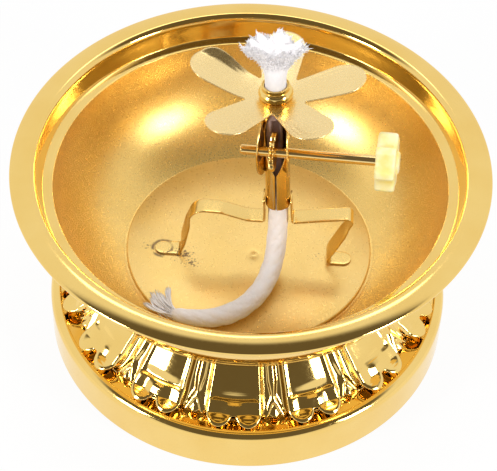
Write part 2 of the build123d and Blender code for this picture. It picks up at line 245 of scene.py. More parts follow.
def turned(profile, columns):
    """Each profile point, a radius and a height, goes round the lamp's axis."""
    return round_lamp(*profile.T[..., None], full_turn(columns))


quarter = arc((0.0, 0.0), (1.0, 1.0), 0, 90)
print("a quarter of a circle of 1 mm is", run_along(quarter)[-1].round(3), "mm long")

# %% [markdown]
# The burner stands a little turned in the bowl, and its tube leans to the back and to the left. Its pieces
# are worked out upright in the tube's own axes: across, to the back and along. One product carries them to
# their place.

# %% The burner's axes
def level_axes(turn):
    """The level directions across and to the back, turned round the lamp's axis."""
    return np.array((cos(turn), sin(turn), 0.0)), np.array((-sin(turn), cos(turn), 0.0))


bracket_turn, tube_turn = radians(-2.4), radians(-8.2)
tube_lean, tube_side_lean = radians(5.4), radians(3.6)
tube_offset, tube_base_height, tube_length = 5.3, 18.1, 33.6
spindle_forward, spindle_height = 5.0, 19.0
stand = np.array((1.0, -2.5, 22.5))
bracket_across, bracket_back = level_axes(bracket_turn)
level_across, level_back = level_axes(tube_turn)
leaned_back = np.array((0.0, 0.0, cos(tube_lean))) + level_back * sin(tube_lean)
along_tube = leaned_back * cos(tube_side_lean) - level_across * sin(tube_side_lean)
across_tube = level_across * cos(tube_side_lean) + leaned_back * sin(tube_side_lean)
tube_back = np.cross(along_tube, across_tube)
tube_base = stand + bracket_across * tube_offset + np.array((0.0, 0.0, tube_base_height))


def on_tube(across, back, along):
    """Points given across, behind and along the tube, in the lamp's frame."""
    local = np.stack(np.broadcast_arrays(across, back, along), -1)
    return tube_base + local @ np.stack([across_tube, tube_back, along_tube])


def round_tube(radius, height, angle):
    """Points round the tube's axis: a radius, a height along it and an angle from its back."""
    return on_tube(-radius * np.sin(angle), radius * np.cos(angle), height)


def round_spindle(along_spindle, radius, angle):
    """Points round the spindle: a place along it, a radius and an angle from the back upwards."""
    back = radius * np.cos(angle) - spindle_forward
    return on_tube(along_spindle, back, radius * np.sin(angle) + spindle_height)


print("tube base", tube_base.round(2), "along", along_tube.round(3))

# %% [markdown]
# Metal is mostly what it reflects. The gold plate's finishes differ in how rough they are and in their grain:
# mirror-bright on the rim and the pedestal, grained satin in the bowl, and soft satin on the burner. Noise on
# Object coordinates gives the grain, and faint clouds in the colour and the gloss, at their real scale. A
# small class keeps the nodes of one finish together, so each finish below reads as a short recipe.

# %% Gold finishes
class Paint:
    """The nodes of one finish, with a short method for each kind that is needed often."""

    def __init__(self, tree):
        self.nodes = tree.nodes
        self.link = tree.links.new
        self.shader = tree.nodes.get("Principled BSDF")

    def fill(self, values, node=None):
        """Links outputs to named sockets of a node, or of the shader, or sets numbers and colours there."""
        for name, value in values.items():
            socket = (node or self.shader).inputs[name]
            if isinstance(value, bpy.types.NodeSocket):
                self.link(value, socket)
            elif isinstance(value, tuple) and len(value) < len(socket.default_value):
                socket.default_value = (*value, 1.0)
            else:
                socket.default_value = value

    def node(self, kind, values, output=0, **settings):
        """A new node with its settings and the values of its sockets. Gives one of its outputs."""
        node = self.nodes.new("ShaderNode" + kind)
        for name, setting in settings.items():
            setattr(node, name, setting)
        self.fill(values, node)
        return node.outputs[output]

    def place(self):
        """Places on the piece, in metres."""
        return self.node("TexCoord", {}, "Object")

    def noise(self, place, scale, detail=2.0):
        """A noise texture read at a place."""
        return self.node("TexNoise", {"Vector": place, "Scale": scale, "Detail": detail}, "Fac")

    def fit(self, value, old, new, smooth=False):
        """Carries a value from an old range to a new one."""
        ends = dict(zip(("From Min", "From Max", "To Min", "To Max"), (*old, *new)))
        way = "SMOOTHSTEP" if smooth else "LINEAR"
        return self.node("MapRange", {"Value": value, **ends}, "Result", interpolation_type=way)

    def mix(self, factor, first, second):
        """Mixes two colours by a factor."""
        return self.node("Mix", {"Factor": factor, 6: first, 7: second}, 2, data_type="RGBA")

    def math(self, operation, first, second=0.0):
        """One sum of two numbers."""
        return self.node("Math", {0: first, 1: second}, operation=operation)

    def bump(self, height, strength, distance):
        """The normal that a height in the surface gives."""
        return self.node("Bump", {"Height": height, "Strength": strength, "Distance": distance}, "Normal")


def start_material(name):
    """A new node material and its paint."""
    material = bpy.data.materials.new(name)
    material.use_nodes = True
    return material, Paint(material.node_tree)


def gold(name, colour, deep, rough, grain_scale, grain_depth, grain_strength, metal=1.0):
    """Gold plate: clouds of a deeper tone, roughness between two values and a grain in the normal. A metal
    share below 1 is so fine a grain that part of the light leaves it in all directions."""
    material, paint = start_material(name)
    place = paint.place()
    clouds = paint.fit(paint.noise(place, 90.0, 4.0), (0.35, 0.75), (0.0, 1.0))
    grain = paint.noise(place, grain_scale)
    patches = paint.noise(place, 0.7 * grain_scale, 3.0)
    paint.fill({
        "Base Color": paint.mix(clouds, colour, deep),
        "Roughness": paint.fit(patches, (0.3, 0.7), rough),
        "Normal": paint.bump(grain, grain_strength, grain_depth),
        "Metallic": metal,
    })
    return material


polish = ((0.06, 0.11), 1500.0, 0.00002, 0.05)
satin_grain = ((0.25, 0.34), 4200.0, 0.00006, 0.45, 0.8)
mirror_gold = gold("mirror_gold", (0.93, 0.66, 0.22), (0.90, 0.61, 0.18), *polish)
grained_gold = gold("grained_gold", (0.93, 0.65, 0.21), (0.90, 0.60, 0.17), *satin_grain)
soft_grain = (3000.0, 0.00003)
burner_tones = ((0.93, 0.66, 0.24), (0.90, 0.62, 0.20))
burner_gold = gold("burner_gold", *burner_tones, (0.14, 0.26), *soft_grain, 0.10)
petal_gold = gold("petal_gold", (0.96, 0.74, 0.36), (0.94, 0.70, 0.31), (0.22, 0.34), *soft_grain, 0.08)
spindle_tones = ((0.93, 0.69, 0.30), (0.90, 0.63, 0.24))
spindle_gold = gold("spindle_gold", *spindle_tones, (0.08, 0.16), 2000.0, 0.00002, 0.08)
print("gold finishes", 5)

# %% [markdown]
# The bowl is one spun shell: a flat floor, a bulged wall, a narrow ledge, a step and a rolled bead. It could
# be a screw modifier on a curve, but a profile array keeps every size in sight. Its rows choose the finish:
# the wall and the floor keep their grain, everything from the ledge outwards is polished.

# %% Bowl
floor_top, floor_underside = 21.7, 20.5
wall_bulge = 4.5
polished_from = 45.1
crest_width, crest_fall = 3.7, 0.6
bowl_inside = [(0.0, floor_top), (28.0, floor_top), *bulged((29.0, floor_top), (44.4, 45.2), wall_bulge)]
crest_run = np.linspace(0.0, crest_width, 30)
bead_crest = np.stack([49.6 + crest_run, 50.8 - crest_fall * (crest_run / crest_width) ** 2], 1)
bead_edge = arc((53.25, 49.6), (0.55, 0.55), 71, -120)
bowl_rim = [(46.7, 45.4), *arc((49.6, 49.3), (1.7, 1.5), 180, 90), *bead_crest, *bead_edge]
wall_outside = bulged((29.6, floor_underside), (45.6, 43.8), wall_bulge)[::-1]
bowl_outside = [(47.9, 44.4), *wall_outside, (0.0, floor_underside)]
bowl_profile = thinned(eased([*bowl_inside, *bowl_rim, *bowl_outside], 0.06, 0.12), 240)
polished = np.arange(len(bowl_profile)) >= np.argmax(bowl_profile[:, 1] > polished_from)
make_piece(
    "bowl_shell", "bowl", [grained_gold, mirror_gold], [turned(bowl_profile, 360)],
    finish_of_row=polished,
)

# %% [markdown]
# The plinth is a plain band with a rounded upper edge and an inner shelf. A bevelled cylinder would do for
# the band, but a turned profile brings the shelf along with it. The profile closes on itself underneath.

# %% Plinth
shelf_top, plinth_top = 9.2, 10.7
plinth_shoulder = arc((44.8, 8.7), (2.0, 2.0), 0, 90)
plinth_outside = [(46.1, 0.0), (46.8, 0.0), *plinth_shoulder, (44.5, plinth_top), (44.5, shelf_top)]
plinth_inside = [(37.0, shelf_top), (37.0, 8.2), (45.4, 8.2), (45.4, 0.0), (46.1, 0.0)]
plinth_profile = thinned(eased([*plinth_outside, *plinth_inside], 0.05, 0.12), 130)
make_piece("plinth_band", "plinth_ring", [mirror_gold], [turned(plinth_profile, 360)])

# %% [markdown]
# The pedestal is pressed into fourteen petals. Each petal ends in two round lobes with a notch and a rib
# between them, and a thin spear with a forked foot stands between each two petals. It could be sculpted, but
# the pattern repeats, so it is worked out once, from the distance to the outline of a petal drawn flat. Two
# profiles drive it: the valley and the petal's plain face. A share from 0 to 1 says how far a point has moved
# from the first to the second. A height over the face then flares the lobes' lips and crowns the petal.

# %% Lotus pedestal
petal_count = 14
first_petal = radians(-3.0)
columns_per_petal = 64
lobe_half = 3.4
lobe_overhang = 1.3
notch_top, rib_half_width = 1.3, 3.0
lip_radius, lip_height, lip_width = 43.0, 10.5, 1.2
flare_width, side_flare, end_flare = 2.5, 0.45, 0.95
face_foot = 5.3
lobe_step, crown_height = 0.4, 0.45
petal_stations = [(32.6, 20.5), (38.5, 14.6), (42.6, 10.5), (43.9, 9.2)]
valley_stations = [(31.4, 20.5), (36.9, 14.75), (40.2, 11.2), (40.8, 9.2)]
lotus_line = thinned(eased(np.concatenate([petal_stations, valley_stations], 1), 0.04, 0.12), 100)
petal_line, valley_line = lotus_line[:, :2], lotus_line[:, 2:]
down = run_along(petal_line)
above_lip = (down[np.argmax(petal_line[:, 1] < lip_height)] - down)[:, None]


def ramp(value, low, high):
    """0 below low, 1 above high, and an S-shaped rise between them."""
    share = np.clip((value - low) / (high - low), 0.0, 1.0)
    return share * share * (3 - 2 * share)


def petal_shape(across_petal, above):
    """How far a point has risen from the valley to the petal, from 0 to 1, and its height over the plain
    face. The outline is two tongues with round ends and a rib between. Edges flare, most at the tongues'
    ends, the lobed part stands a little over the face, and the face is crowned."""
    aside = np.abs(across_petal)
    below_centre = np.maximum(lobe_half - lobe_overhang - above, 0.0)
    from_centre = np.hypot(aside - lobe_half, below_centre)
    tongue = lobe_half - from_centre
    rib = np.minimum(np.minimum(0.9, above - notch_top), rib_half_width - aside)
    risen = ramp(np.maximum(tongue, rib), -0.3, 0.3)
    flare = side_flare + end_flare * below_centre / np.maximum(from_centre, 0.1)
    flare = flare * (1 - np.clip((tongue - lip_width) / flare_width, 0.0, 1.0))
    sides = 1 - 0.75 * ramp(above, 2.5, 7.0)
    flare = flare * np.where(aside < lobe_half, 1 - ramp(above, 3.4, 5.2), sides)
    face = np.minimum(above - face_foot, 2 * lobe_half - 1.2 - aside)
    lobed = lobe_step * (1 - ramp(face, -0.6, 0.6))
    rounded = 1 - np.minimum(aside / (2 * lobe_half), 1.0) ** 2
    return risen, flare + lobed + crown_height * rounded * ramp(above, 5.0, 8.0)


def spear_relief(across_gap, above):
    """A stem that forks below into two legs, with a low wedge between them, from 0 to 1."""
    fork_top = 4.8
    fork = np.maximum(fork_top - above, 0.0) * 0.42
    half_width = 0.5 + 0.5 * ramp(above, fork_top, 9.0)
    stem = ramp(half_width - np.abs(np.abs(across_gap) - fork), -0.3, 0.3)
    wedge = ramp(fork - 0.8 - np.abs(across_gap), 0.0, 0.5)
    return np.maximum(0.60 * stem, 0.55 * wedge) * ramp(above, -1.8, 0.4)


def softened(values):
    """Each value mixed with its neighbours, twice round the petals and once along them."""
    for axis in (1, 1, 0):
        values = 0.5 * values + 0.25 * (np.roll(values, 1, axis) + np.roll(values, -1, axis))
    return values


petal_angle = full_turn(petal_count * columns_per_petal)
pitch = 2 * pi / petal_count
from_petal = wrapped(petal_angle - first_petal, pitch)
from_gap = pitch / 2 - np.abs(from_petal)
risen, over_face = petal_shape(from_petal * lip_radius, above_lip)
over_face = softened(over_face * risen)
risen = softened(np.maximum(risen, spear_relief(from_gap * lip_radius, above_lip)))
lotus_section = valley_line[:, None] + risen[..., None] * (petal_line - valley_line)[:, None]
lotus_section = lotus_section + over_face[..., None] * left_of(petal_line)[:, None]
lotus_skin = round_lamp(lotus_section[..., 0], lotus_section[..., 1], petal_angle)
lotus_hollow = np.array([(39.4, 9.2), (38.0, 12.2), (35.4, 14.6), (29.8, 19.3), (18.0, 19.3), (18.0, 20.5)])
lotus_grid = np.concatenate([lotus_skin, turned(lotus_hollow, len(petal_angle))])
make_piece("lotus_pedestal", "pedestal", [mirror_gold], [ring(lotus_grid)])

# %% [markdown]
# The base plate is spot-welded, and the weld burnt little marks round the burner's feet. They belong to the
# surface, so they are painted in its material, as specks that thin out away from the left foot. A ragged ring
# round the left foot is painted shade in the gap under its tab's edge, with some weld burn too. A speck shows
# where noise is higher than a threshold that rises with the distance.

# %% Base plate finish
plate_tones = ((0.93, 0.66, 0.24), (0.91, 0.63, 0.20))
plate_gold = gold("plate_gold", *plate_tones, (0.26, 0.36), *soft_grain, 0.04, 0.75)
# Dark brown of the weld burn, also used for the painted shade in the rings round the foot's tab.
burn_and_shade_colour = (0.10, 0.05, 0.03)


def distance_from(paint, place, point):
    """Distance of a place from a point, in metres."""
    return paint.node("VectorMath", {0: place, 1: point}, "Value", operation="DISTANCE")


def burns_and_gap_shade(material, specks, gap_shade_rings):
    """Darkens gold: weld-burn specks are (point, reach, threshold), and rings of painted shade in the gap
    round a foot's tab, with some weld burn, are (point, radius, width), in metres.
    """
    paint = Paint(material.node_tree)
    place = paint.place()
    dots = paint.noise(place, 1900.0)
    ragged = paint.fit(paint.noise(place, 500.0), (0.35, 0.6), (0.0, 1.0), True)
    marks = 0.0
    for point, reach, threshold in specks:
        rising = paint.fit(distance_from(paint, place, point), (0.0, reach), (threshold, 1.0))
        speck = paint.fit(paint.math("SUBTRACT", dots, rising), (0.0, 0.06), (0.0, 0.85), True)
        marks = paint.math("MAXIMUM", marks, speck)
    # Painted shade: each ring is a ragged dark line in the gap round a foot's tab, with some weld burn too.
    for point, radius, width in gap_shade_rings:
        away = paint.math("SUBTRACT", distance_from(paint, place, point), radius)
        line = paint.fit(paint.math("ABSOLUTE", away), (0.0, width), (0.9, 0.0), True)
        marks = paint.math("MAXIMUM", marks, paint.math("MULTIPLY", line, ragged))
    clean = paint.shader.inputs["Base Color"].links[0].from_socket
    metal = paint.shader.inputs["Metallic"].default_value
    paint.fill({
        "Base Color": paint.mix(marks, clean, burn_and_shade_colour),
        "Metallic": paint.fit(marks, (0.0, 1.0), (metal, 0.3)),
    })


# Specks of weld burn round the feet, and a ring of painted shade in the gap round the left foot's tab.
burns_and_gap_shade(
    plate_gold,
    [
        ((-0.0150, -0.0035, 0.0225), 0.0075, 0.44), ((-0.0135, -0.0060, 0.0225), 0.0060, 0.46),
        ((0.0160, -0.0030, 0.0225), 0.0040, 0.52), ((-0.0235, -0.0010, 0.0225), 0.0045, 0.50),
    ],
    [((-0.0199, -0.0017, 0.0225), 0.0025, 0.0006)],
)
print("plate marks painted")

# %% [markdown]
# The plate itself is a thin disc with a rounded edge. Near its middle a weld has drawn it down to the bowl,
# which leaves a small dimple: a bell-shaped dip taken from the height of the upper face.

# %% Base plate
plate_top = 22.5
dimple_place, dimple_width, dimple_depth = (1.2, -3.0), 1.15, 0.30
plate_middle = np.stack([np.linspace(0, 7, 46), np.full(46, plate_top)], 1)
plate_edge = [(28.2, plate_top), (28.42, 22.44), (28.5, 22.3), (28.5, floor_top), (0.0, floor_top)]
plate_profile = np.concatenate([plate_middle, [(16, plate_top)], plate_edge])
plate_grid = turned(plate_profile, 240)
from_dimple = np.hypot(plate_grid[..., 0] - dimple_place[0], plate_grid[..., 1] - dimple_place[1])
dip = dimple_depth * np.exp(-((from_dimple / dimple_width) ** 2))
plate_grid[..., 2] -= np.where(plate_grid[..., 2] > plate_top - 0.1, dip, 0.0)
make_piece("welded_plate", "base_plate", [plate_gold], [plate_grid])

# %% [markdown]
# Two bent strips carry the tube. A strip is a small rounded section carried along a route, which is straight
# runs joined by arcs. Its foot tab has a round end, so the section narrows there as a circle does.

# %% Legs
def bent_route(corners, bends, step):
    """Straight runs with an arc of its own radius at each inner corner, as points a step apart."""
    corners = np.array(corners, float)
    line = [corners[0]]
    for before, corner, after, bend in zip(corners, corners[1:], corners[2:], bends):
        enter, leave = unit(before - corner), unit(after - corner)
        half = np.arccos(np.clip(enter @ leave, -1, 1)) / 2
        centre = corner + unit(enter + leave) * bend / np.sin(half)
        first = np.arctan2(*(corner + enter * bend / np.tan(half) - centre)[::-1])
        last = np.arctan2(*(corner + leave * bend / np.tan(half) - centre)[::-1])
        turn = wrapped(last - first, 2 * pi)
        line.extend(arc(centre, (bend, bend), np.degrees(first), np.degrees(first + turn), 12))
    line.append(corners[-1])
    return eased(line, step, 0.05)


def squared(wave):
    """A wave pushed towards -1 and 1, which makes a round section nearly square."""
    return np.sign(wave) * np.abs(wave) ** 0.4


def closed_ends(grid):
    """A grid closed at both ends by a row of one point, the middle of its last points."""
    middles = np.repeat(grid[[0, -1]].mean(1, keepdims=True), grid.shape[1], 1)
    return np.concatenate([middles[:1], grid, middles[1:]])


def strip(route, side, thickness=0.45, width=4.0, slant=0.25):
    """A rounded flat section carried along a route in the bracket's plane, on its left (1) or right (-1)
    side. The upright is twisted, its front edge to the right, by a slant that fades at its two ends."""
    from_end = np.maximum(width / 2 - run_along(route), 0.0)
    half = np.sqrt(np.maximum((width / 2) ** 2 - from_end**2, 0.0))
    turn = full_turn(32)
    rise = thickness / 2 * (1 + squared(np.sin(turn)))
    flat = route[:, None] + side * left_of(route)[:, None] * rise[None, :, None]
    depth = half[:, None] * squared(np.cos(turn))
    upright = ramp(flat[..., 1], 0.5, 4.0) * (1 - ramp(flat[..., 1], 9.0, 13.0))
    flat[..., 0] += slant * depth * upright
    up = np.array((0.0, 0.0, 1.0))
    flat = stand + flat[..., :1] * bracket_across + flat[..., 1:] * up
    return closed_ends(flat - depth[..., None] * bracket_back)


tab_lean = np.tan(tube_side_lean)
left_tab, right_tab = (
    [(middle + 5.0 * tab_lean, 13.1), (middle - 2.2 * tab_lean, 20.3)] for middle in (2.45, 8.15)
)
left_corners = [(-22.9, 0), (-16.7, 0), (-13.9, 15.4), (-7.5, 15.1), (-1.5, 13.1), *left_tab]
right_corners = [(22.9, 0), (16.3, 0), (22.8, 15.7), *right_tab]
left_strip = strip(bent_route(left_corners, [0.9, 3.5, 6.0, 6.0, 0.9], 0.15), 1)
right_strip = strip(bent_route(right_corners, [1.5, 1.0, 0.9, 0.9], 0.15), -1)
foot_gold = gold("foot_gold", *burner_tones, (0.16, 0.28), *soft_grain, 0.1)
# Specks of weld burn on the left foot, and a ring of painted shade along its tab's edge, with some weld burn
# too.
burns_and_gap_shade(
    foot_gold,
    [((-0.0160, -0.0030, 0.0229), 0.0050, 0.46), ((-0.0185, -0.0030, 0.0229), 0.0050, 0.50)],
    [((-0.0199, -0.0017, 0.0229), 0.0021, 0.0005)],
)
make_piece("strip_left", "leg_left", [foot_gold], [left_strip])
make_piece("strip_right", "leg_right", [burner_gold], [right_strip])

# %% [markdown]
# The tube is rolled from sheet, so it has an open seam at the front. Half way up, the seam opens into a
# window, and its two sides stand forward there as ears that carry the spindle. The sheet is a grid of angle
# and height whose two edges follow the seam. Each ear is a ring of radii round the spindle's bore, out to its
# rounded outline.

# %% Wick tube
bore, tube_radius = 2.5, 2.8
sheet_middle = (bore + tube_radius) / 2
window_low, window_high = 9.6, 29.0
seam_half, widest_half = 0.175, 2.49
sheet_columns = 49
heights = np.concatenate([[0.0], np.linspace(0.0, tube_length, 150), [tube_length]])
window_middle, window_half = (window_low + window_high) / 2, (window_high - window_low) / 2
window_arc = (window_half**2 + bore**2) / (2 * bore)
lens = np.sqrt(np.maximum(window_arc**2 - (heights - window_middle) ** 2, 0.0)) - (window_arc - bore)
opening = np.clip(lens, seam_half, widest_half)
edge_angle = pi - np.arcsin(opening / sheet_middle)
share = np.linspace(-1.0, 1.0, sheet_columns)
sheet_share = np.concatenate([share, share[::-1]])
sheet_radius = np.tile(np.repeat((tube_radius, bore), sheet_columns), (len(heights), 1))
sheet_radius[[0, -1]] = sheet_middle
tube_sheet = round_tube(sheet_radius, heights[:, None], edge_angle[:, None] * sheet_share)

ear_centre, ear_round = np.array((0.617, 17.7)), 7.924
ear_bore, ear_sheet, ear_spread = 1.2, 0.3, 0.10
around = full_turn(96)
ray = np.stack([np.cos(around), np.sin(around)], 1)
spindle_from_ear = np.array((-spindle_forward, spindle_height)) - ear_centre
towards = ray @ spindle_from_ear
to_round = -towards + np.sqrt(towards**2 - spindle_from_ear @ spindle_from_ear + ear_round**2)
to_tube = np.where(ray[:, 0] > 0.05, (spindle_forward + 0.3) / np.maximum(ray[:, 0], 0.05), 99.0)
ear_reach = np.minimum(to_round, to_tube)
ear_share = np.array([0.0, 0.0, 0.3, 0.7, 1.0, 1.0, 0.7, 0.3])[:, None]
ear_rise = ear_sheet * np.array([0, 1, 1, 1, 1, 0, 0, 0])[:, None]
ear_out = ear_bore + ear_share * (ear_reach - ear_bore)
ear_flare = ear_spread * np.maximum(spindle_forward - 0.5 - ear_out * np.cos(around), 0.0)
ears = [ring(round_spindle(side * (bore + ear_rise + ear_flare), ear_out, around)) for side in (-1, 1)]
make_piece("rolled_tube", "wick_tube", [burner_gold], [tube_sheet, *ears])

# %% [markdown]
# The collar is a small turned ring: a round bead that presses the flower plate down, and a thin lip round the
# tube. It is made like the plinth, from a profile that closes on itself, but round the leaning tube.

# %% Collar
collar_bore = 2.82
collar_foot, collar_top = 30.6, 33.7
collar_start = (collar_bore, 32.0)
collar_bead = arc((3.2, 31.6), (0.6, 1.0), -90, 90)
collar_lip = [(3.02, 32.65), (3.07, collar_top), (collar_bore, collar_top)]
collar_line = [collar_start, (collar_bore, collar_foot), *collar_bead, *collar_lip, collar_start]
collar_profile = thinned(eased(collar_line, 0.02, 0.05), 70)
collar_grid = round_tube(*collar_profile.T[..., None], full_turn(96))
make_piece("bead_collar", "tube_collar", [mirror_gold], [collar_grid])

# %% [markdown]
# The flower plate is stamped from thin sheet: five petals, slightly dished, with fine lines pressed in along
# their edges. One petal is bent up. A petal's outline is the hull of a small circle near the hub and a larger
# one near the tip, so the distance to it has a plain formula. The grid's radii run from the hub to that
# outline, over the top and back underneath.

# %% Flower plate
petals = 5
flower_turn = radians(2.3)
root_place, root_radius = 3.5, 3.5
tip_place, tip_radius = 14.9, 4.9
notch_radius = 6.9
flower_base, flower_sheet = 30.1, 0.4
dish_rise, bent_rise, curl_rise, line_depth = 2.8, 2.2, 0.9, 0.035
widening = (tip_radius - root_radius) / (tip_place - root_place)


def petal_reach(off):
    """Distance from the hub to the petal's outline, that angle off its middle line: to its round tip near the
    line, along its straight side farther off, and never less than the rounded notch between two petals."""
    tilt = np.arcsin(widening)
    side = (root_radius - root_place * widening) / np.maximum(np.sin(off - tilt), 1e-6)
    room = np.maximum(tip_radius**2 - (tip_place * np.sin(off)) ** 2, 0.0)
    tip = tip_place * np.cos(off) + np.sqrt(room)
    touch = np.arctan2(tip_radius * cos(tilt), tip_place - tip_radius * widening)
    return np.maximum(np.where(off < touch, tip, side), notch_radius)


def inside_petal(radius, off):
    """How deep a point lies inside its petal: the distance to the hull of the two circles."""
    side, out = radius * np.sin(off), radius * np.cos(off) - root_place
    length = tip_place - root_place
    lean = np.sqrt(1 - widening**2)
    along = out * lean + side * widening
    straight = root_radius - (side * lean - out * widening)
    at_root = root_radius - np.hypot(side, out)
    at_tip = tip_radius - np.hypot(side, out - length)
    return np.where(along < 0, at_root, np.where(along > lean * length, at_tip, straight))


flower_angle = full_turn(720)
off_petal = wrapped(flower_angle - flower_turn, 2 * pi / petals)
outline = petal_reach(np.abs(off_petal))
steps = np.linspace(0.0, 1.0, 44)
flower_share = np.concatenate([steps, [1.0], steps[::-1]])[:, None]
flower_top = np.concatenate([np.ones(44), [0.5], np.zeros(44)])[:, None]
rounded_edge = 0.12 * np.abs(2 * flower_top - 1)
flower_radius = collar_bore + flower_share * (outline - collar_bore - rounded_edge)
depth_in = inside_petal(flower_radius, np.abs(off_petal))
dish = dish_rise * np.maximum(flower_radius - 4.2, 0.0) / 15.6
lines = sum(np.exp(-(((depth_in - place) / 0.3) ** 2)) for place in (1.0, 2.0))
lines = lines * ramp(flower_radius, 8, 12)
bent_up = np.abs(flower_angle - flower_turn - 2 * pi / petals) < pi / petals
aside = flower_radius * np.sin(off_petal)
curl = curl_rise * ramp(-aside, 2.0, 5.0) * ramp(flower_radius, 9.0, 14.0)
lift = np.where(bent_up, bent_rise * ramp(flower_radius, 7.0, 20.0) + curl, 0.0)
ripple = 0.05 * np.sin(3.1 * flower_angle + 0.35 * flower_radius) * ramp(flower_radius, 8, 16)
flower_rise = flower_base + flower_sheet * flower_top + dish + lift + ripple - line_depth * lines
flower_grid = round_tube(flower_radius, flower_rise, flower_angle)
make_piece("stamped_flower", "flower_plate", [petal_gold], [ring(flower_grid)])

# %% [markdown]
# The winder is a plain shaft, a thin wheel with sixteen teeth and a ribbed plastic knob. All three are
# profiles carried round the spindle; on the wheel and the knob the radius changes with the angle.

# %% Spindle and wheel
shaft_line = [(-7.2, 0.0), (-7.2, 0.95), (-7.0, 1.15), (25.9, 1.15), (26.1, 0.95), (26.1, 0.0)]
shaft = thinned(eased(shaft_line, 0.05, 0.06), 60)
shaft_grid = round_spindle(*shaft.T[..., None], full_turn(48))
make_piece("shaft", "spindle", [spindle_gold], [shaft_grid], "winder")

teeth = 16
press_bore = 1.17
tooth_angle = full_turn(teeth * 12)
tooth = np.abs((tooth_angle * teeth / (2 * pi)) % 1 - 0.5) * 2
wheel_outline = 3.6 + 0.8 * tooth
wheel_x = np.array([-0.5, -0.55, -0.55, -0.45, 0.45, 0.55, 0.55, 0.5])[:, None]
wheel_share = np.array([0.0, 0.03, 0.95, 1.0, 1.0, 0.95, 0.03, 0.0])[:, None]
wheel_radius = press_bore + wheel_share * (wheel_outline - press_bore)
wheel_grid = round_spindle(wheel_x, wheel_radius, tooth_angle)
make_piece("toothed_wheel", "wick_wheel", [burner_gold], [ring(wheel_grid)], "winder")

# %% [markdown]
# The knob is pale yellow plastic that lets a little light through, and its colour clouds where it is thicker.
# A subsurface share in the shader gives that softness. Seven wide flutes are cut into its edge, each a
# circle's arc.

# %% Knob
knob_plastic, paint = start_material("knob_plastic")
place = paint.place()
clouds = paint.fit(paint.noise(place, 260.0, 3.0), (0.42, 0.68), (0.0, 1.0), True)
paint.fill({
    "Base Color": paint.mix(clouds, (0.93, 0.85, 0.48), (0.87, 0.74, 0.25)),
    "Roughness": paint.fit(paint.noise(place, 900.0), (0.3, 0.7), (0.30, 0.42)),
    "Normal": paint.bump(paint.noise(place, 1200.0), 0.12, 0.00005),
    "Subsurface Weight": 0.45,
    "Subsurface Radius": (0.004, 0.0035, 0.0015),
    "Subsurface Scale": 1.0,
})

flutes = 7
flute_centre, flute_radius, knob_radius = 8.3, 3.0, 6.45
knob_angle = full_turn(flutes * 32)
flute_turn = 2 * pi / flutes
off_flute = wrapped(knob_angle - radians(42.0), flute_turn)
flute_room = np.maximum(flute_radius**2 - (flute_centre * np.sin(off_flute)) ** 2, 0.0)
in_flute = np.abs(off_flute) < np.arcsin(flute_radius / flute_centre)
flute_cut = np.where(in_flute, flute_centre * np.cos(off_flute) - np.sqrt(flute_room), 99.0)
knob_outline = np.minimum(flute_cut, knob_radius)
knob_line = [
    (26.1, 0.0, 0), (26.1, press_bore, 0), (22.6, press_bore, 0), (22.6, 3.0, 0), (22.6, 5.85, 1),
    (22.78, 6.27, 1), (23.2, knob_radius, 1), (26.3, knob_radius, 1), (26.72, 6.27, 1), (26.9, 5.85, 1),
    (26.9, 2.5, 0), (27.3, 2.4, 0), (27.5, 2.15, 0), (27.5, 0.0, 0),
]
knob_along, knob_out, fluted = thinned(eased(knob_line, 0.05, 0.1), 84).T[..., None]
knob_reach = np.maximum(knob_out + fluted * (knob_outline - knob_radius), 0.0)
knob_grid = round_spindle(knob_along, knob_reach, knob_angle)
make_piece("fluted_knob", "knob", [knob_plastic], [knob_grid], "winder")

# %% [markdown]
# The wick is soft twisted cotton. Its white is never flat: fibres shade it, and its stretch behind the wheel
# is brown. A value on the points says where, so the brown follows the wick and not the room.

# %% Cotton
cotton, paint = start_material("cotton")
place = paint.place()
fibre = paint.noise(place, 1500.0, 4.0)
shade = paint.fit(paint.noise(place, 420.0, 3.0), (0.35, 0.7), (0.0, 1.0))
white = paint.mix(shade, (0.95, 0.92, 0.93), (0.89, 0.86, 0.87))
# Brown where the points' value says: the wick's stretch that shows in the window.
browning = paint.node("Attribute", {}, "Fac", attribute_name="browning")
paint.fill({
    "Base Color": paint.mix(browning, white, (0.30, 0.17, 0.13)),
    "Normal": paint.bump(fibre, 0.6, 0.0003),
    "Roughness": 0.95,
    "Sheen Weight": 0.25,
    "Subsurface Weight": 0.2,
    "Subsurface Radius": (0.0012, 0.0011, 0.0011),
    "Subsurface Scale": 1.0,
})
print("cotton made")

# %% [markdown]
# Below the tube the wick is a limp cord. Its route is a smooth NURBS spline with the solid's own route points
# as its control points. The skin follows points read from that spline: a tube whose radius ripples with six
# twisted strands. It rides on no body, so it stays where it lies.

# %% Wick tail
tail_points = np.array([
    (6.30, -2.72, 40.60), (6.52, -3.19, 36.03), (6.40, -4.70, 31.40), (6.05, -7.70, 27.60),
    (4.75, -12.00, 25.40), (2.50, -16.80, 25.00), (-1.10, -21.20, 25.00), (-6.00, -24.00, 25.00),
    (-11.80, -24.60, 25.00), (-16.90, -23.20, 25.00),
])
route = bpy.data.curves.new("tail_route", "CURVE")
route.dimensions = "3D"
route.resolution_u = 24
spline = route.splines.new("NURBS")
spline.points.add(len(tail_points) - 1)
spline.points.foreach_set("co", np.c_[tail_points * MILLIMETRE, np.ones(len(tail_points))].ravel())
spline.order_u = 3
spline.use_endpoint_u = True
route_holder = bpy.data.objects.new("tail_route", route)
route_mesh = bpy.data.meshes.new_from_object(route_holder)
tail_path = np.empty(len(route_mesh.vertices) * 3)
route_mesh.vertices.foreach_get("co", tail_path)
tail_path = tail_path.reshape(-1, 3) / MILLIMETRE
bpy.data.objects.remove(route_holder)
bpy.data.curves.remove(route)
bpy.data.meshes.remove(route_mesh)


